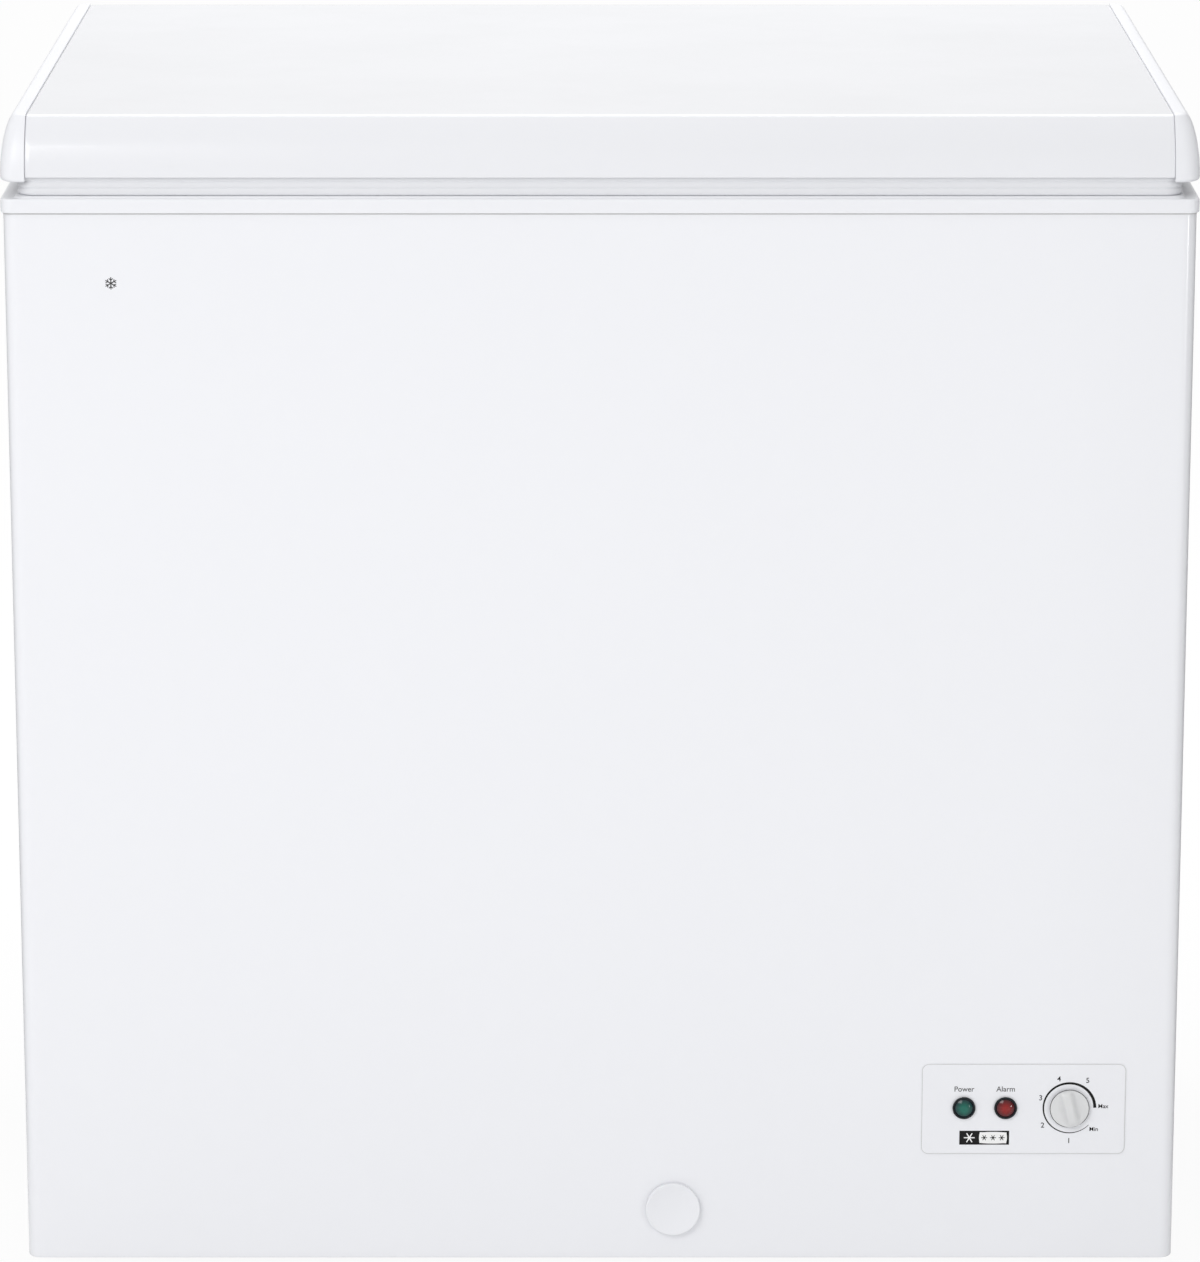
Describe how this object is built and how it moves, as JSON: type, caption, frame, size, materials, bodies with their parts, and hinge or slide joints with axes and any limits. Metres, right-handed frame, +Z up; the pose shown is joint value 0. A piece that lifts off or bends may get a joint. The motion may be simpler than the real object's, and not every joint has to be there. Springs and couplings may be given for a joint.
{
  "type": "chest freezer",
  "caption": "White chest freezer with a hinged lid, a stepped tub, a compressor bay, a thermostat knob, signal lamps and a front drain cap.",
  "frame": {"origin": "on the floor, at the centre of the overall width and depth (knob to hinges)", "axes": "+Z up, +X towards the viewer's right when facing the front, the front faces -Y"},
  "size_m": [0.805, 0.576, 0.841],
  "materials": {
    "white_enamel": "smooth white enamel with a soft gloss",
    "galvanised_steel": "dull galvanised sheet",
    "foam": "rigid blown foam",
    "tub_aluminium": "white coated embossed aluminium",
    "white_plastic": "white moulded plastic, satin",
    "liner_plastic": "white vacuum-formed plastic",
    "copper": "drawn copper tube",
    "zinc_steel": "bright zinc plating",
    "black_rubber": "matt rubber",
    "black_enamel": "black stove enamel",
    "motor_iron": "machined iron and laminations",
    "dark_plastic": "dark moulded plastic",
    "green_lens": "green translucent lens",
    "red_lens": "red translucent lens",
    "knob_plastic": "off-white moulded plastic",
    "coated_wire": "white plastic-coated wire",
    "seal_vinyl": "soft white vinyl",
    "spring_steel": "oiled spring steel"
  },
  "bodies": {
    "case": {"outer_wrap": "white_enamel", "rear_panel": "galvanised_steel", "base_pan": "galvanised_steel", "insulation": "foam", "tub_liner": "tub_aluminium", "top_collar": "white_plastic", "evaporator_coil": "copper", "condenser_coil": "copper", "bay_tray": "galvanised_steel", "bay_rear_cover": "galvanised_steel", "bay_cover_screws": "zinc_steel", "cord_gland": "black_rubber", "compressor_lower_can": "black_enamel", "compressor_upper_can": "black_enamel", "compressor_foot_plate": "black_enamel", "compressor_grommets": "black_rubber", "compressor_bolts": "zinc_steel", "motor_stator": "motor_iron", "cylinder_block": "motor_iron", "start_relay": "dark_plastic", "relay_cover": "dark_plastic", "discharge_pipe": "copper", "suction_pipe": "copper", "process_pipe": "copper", "filter_drier": "copper", "capillary_tube": "copper", "control_box": "dark_plastic", "control_panel": "white_plastic", "lamp_bezels": "dark_plastic", "power_lamp": "green_lens", "alarm_lamp": "red_lens", "lamp_holders": "dark_plastic", "thermostat_body": "zinc_steel", "thermostat_sensor": "copper", "wiring_loom": "black_rubber", "drain_pipe": "knob_plastic", "front_feet": "dark_plastic", "roller_brackets": "zinc_steel", "roller_axles": "zinc_steel", "hinge_channels": "zinc_steel", "hinge_pins": "zinc_steel", "hinge_springs": "spring_steel", "channel_screws": "zinc_steel"},
    "lid": {"lid_skin": "white_enamel", "lid_cap_left": "white_plastic", "lid_cap_right": "white_plastic", "lid_insulation": "foam", "lid_inner_panel": "liner_plastic", "lid_seal": "seal_vinyl", "hinge_arms": "zinc_steel", "arm_screws": "zinc_steel"},
    "spring_sliders": {"hinge_sliders": "knob_plastic"},
    "knob": {"thermostat_knob": "knob_plastic", "thermostat_shaft": "zinc_steel"},
    "drain_cap": {"drain_cap": "white_plastic"},
    "drain_plug": {"tub_drain_plug": "white_plastic"},
    "basket": {"wire_basket": "coated_wire"},
    "roller_l": {"roller_left": "dark_plastic"},
    "roller_r": {"roller_right": "dark_plastic"},
    "rotor": {"motor_rotor": "motor_iron"}
  },
  "joints": [
    {"name": "lid_hinge", "type": "hinge", "parent": "case", "child": "lid", "pos_m": [0, 0.277, 0.805], "axis": [-1, 0, 0], "range_deg": [0, 80]},
    {"name": "spring_slide", "type": "slide", "parent": "case", "child": "spring_sliders", "axis": [0, 0, 1], "range_m": [0, 0.005], "deforming": ["hinge_springs"]},
    {"name": "knob_turn", "type": "hinge", "parent": "case", "child": "knob", "pos_m": [0.327, -0.2807, 0.145], "axis": [0, 1, 0], "range_deg": [-213, 104]},
    {"name": "drain_cap_pull", "type": "slide", "parent": "case", "child": "drain_cap", "axis": [0, -1, 0], "range_m": [0, 0.04]},
    {"name": "drain_plug_lift", "type": "slide", "parent": "case", "child": "drain_plug", "axis": [0, 0, 1], "range_m": [0, 0.03]},
    {"name": "basket_slide", "type": "slide", "parent": "case", "child": "basket", "axis": [-1, 0, 0], "range_m": [0, 0.4]},
    {"name": "roller_left_spin", "type": "hinge", "parent": "case", "child": "roller_l", "pos_m": [-0.341, 0.2025, 0.014], "axis": [1, 0, 0], "continuous": true},
    {"name": "roller_right_spin", "type": "hinge", "parent": "case", "child": "roller_r", "pos_m": [0.341, 0.2025, 0.014], "axis": [1, 0, 0], "continuous": true},
    {"name": "rotor_spin", "type": "hinge", "parent": "case", "child": "rotor", "pos_m": [0.279, 0.1075, 0.13], "axis": [0, 0, 1], "continuous": true}
  ],
  "couplings": [
    {"joint": "spring_slide", "follows": "lid_hinge", "m_per_rad": 0.003581}
  ]
}
